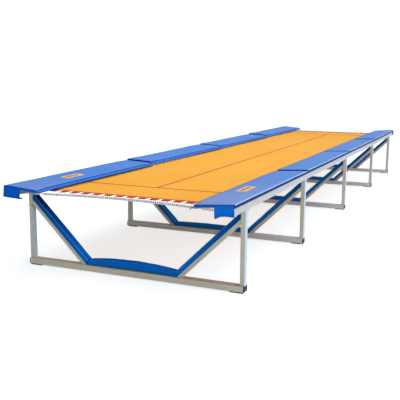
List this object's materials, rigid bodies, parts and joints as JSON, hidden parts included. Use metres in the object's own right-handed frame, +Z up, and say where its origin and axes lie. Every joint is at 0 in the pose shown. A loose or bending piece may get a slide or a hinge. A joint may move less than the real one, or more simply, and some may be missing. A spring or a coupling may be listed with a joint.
{
  "type": "tumbling track trampoline",
  "caption": "Long raised trampoline track: a sprung, laced bed between two side rails on braced steel trestles, edged with lift-up foam side cushions.",
  "frame": {"origin": "centre of the track on the floor, under the middle of the bed", "axes": "+X to the right across the track, +Y along its length, +Z up; the end seen closest is at -Y"},
  "size_m": [2.57, 10.0806, 0.9296],
  "materials": {
    "steel": "satin silver-grey",
    "rail_steel": "light silver, satin",
    "zinc": "zinc plated",
    "spring_steel": "galvanised wire",
    "cap_plastic": "moulded black",
    "foot_rubber": "black rubber",
    "blue_vinyl": "coated vinyl cover over foam",
    "pale_webbing": "woven webbing",
    "patch": "welded plain patch",
    "bed_weave": "woven bed cloth",
    "hem_webbing": "sewn webbing",
    "red_webbing": "sewn webbing",
    "cord": "twisted cord"
  },
  "bodies": {
    "frame": {"beam_end_caps": "cap_plastic", "floor_beam_1": "steel", "floor_beam_2": "steel", "floor_beam_3": "steel", "floor_beam_4": "steel", "floor_beam_5": "steel", "floor_pads": "blue_vinyl", "foot_pads": "foot_rubber", "pad_tabs": "pale_webbing", "plate_bolts": "zinc", "post_plates": "steel", "post_plugs": "cap_plastic", "posts_1": "steel", "posts_2": "steel", "posts_3": "steel", "posts_4": "steel", "posts_5": "steel", "rail_end_plugs": "cap_plastic", "rail_joiners": "zinc", "rail_left_1": "rail_steel", "rail_left_2": "rail_steel", "rail_left_3": "rail_steel", "rail_left_4": "rail_steel", "rail_right_1": "rail_steel", "rail_right_2": "rail_steel", "rail_right_3": "rail_steel", "rail_right_4": "rail_steel", "strut_pads": "blue_vinyl", "struts_1": "steel", "struts_2": "steel", "struts_3": "steel", "struts_4": "steel", "struts_5": "steel", "tapped_bars": "zinc"},
    "bed": {"bed_mat": "bed_weave", "end_bands": "red_webbing", "end_lacing": "cord", "end_ropes": "cord", "end_springs": "spring_steel", "hem_rings": "spring_steel", "line_tapes": "red_webbing", "side_hems": "hem_webbing", "side_springs_left": "spring_steel", "side_springs_right": "spring_steel"},
    "cushion_left_1": {"pad_left_1": "blue_vinyl", "end_flap_left_near": "blue_vinyl", "patch_left_near": "patch"},
    "cushion_left_2": {"pad_left_2": "blue_vinyl"},
    "cushion_left_3": {"pad_left_3": "blue_vinyl"},
    "cushion_left_4": {"pad_left_4": "blue_vinyl", "end_flap_left_far": "blue_vinyl", "patch_left_far": "patch"},
    "cushion_right_1": {"pad_right_1": "blue_vinyl", "end_flap_right_near": "blue_vinyl", "patch_right_near": "patch"},
    "cushion_right_2": {"pad_right_2": "blue_vinyl"},
    "cushion_right_3": {"pad_right_3": "blue_vinyl"},
    "cushion_right_4": {"pad_right_4": "blue_vinyl", "end_flap_right_far": "blue_vinyl", "patch_right_far": "patch"}
  },
  "joints": [
    {"name": "bed_bounce", "type": "slide", "parent": "frame", "child": "bed", "axis": [0, 0, -1], "range_m": [0, 0.25], "stiffness_N_per_m": 9000, "springref_m": -0.09411, "deforming": ["side_springs_left", "side_springs_right", "end_springs"]},
    {"name": "cushion_left_1_lift", "type": "hinge", "parent": "frame", "child": "cushion_left_1", "pos_m": [-1.252, -3.75, 0.891], "axis": [0, -1, 0], "range_deg": [0, 90]},
    {"name": "cushion_left_2_lift", "type": "hinge", "parent": "frame", "child": "cushion_left_2", "pos_m": [-1.252, -1.25, 0.891], "axis": [0, -1, 0], "range_deg": [0, 90]},
    {"name": "cushion_left_3_lift", "type": "hinge", "parent": "frame", "child": "cushion_left_3", "pos_m": [-1.252, 1.25, 0.891], "axis": [0, -1, 0], "range_deg": [0, 90]},
    {"name": "cushion_left_4_lift", "type": "hinge", "parent": "frame", "child": "cushion_left_4", "pos_m": [-1.252, 3.75, 0.891], "axis": [0, -1, 0], "range_deg": [0, 90]},
    {"name": "cushion_right_1_lift", "type": "hinge", "parent": "frame", "child": "cushion_right_1", "pos_m": [1.252, -3.75, 0.891], "axis": [0, 1, 0], "range_deg": [0, 90]},
    {"name": "cushion_right_2_lift", "type": "hinge", "parent": "frame", "child": "cushion_right_2", "pos_m": [1.252, -1.25, 0.891], "axis": [0, 1, 0], "range_deg": [0, 90]},
    {"name": "cushion_right_3_lift", "type": "hinge", "parent": "frame", "child": "cushion_right_3", "pos_m": [1.252, 1.25, 0.891], "axis": [0, 1, 0], "range_deg": [0, 90]},
    {"name": "cushion_right_4_lift", "type": "hinge", "parent": "frame", "child": "cushion_right_4", "pos_m": [1.252, 3.75, 0.891], "axis": [0, 1, 0], "range_deg": [0, 90]}
  ]
}
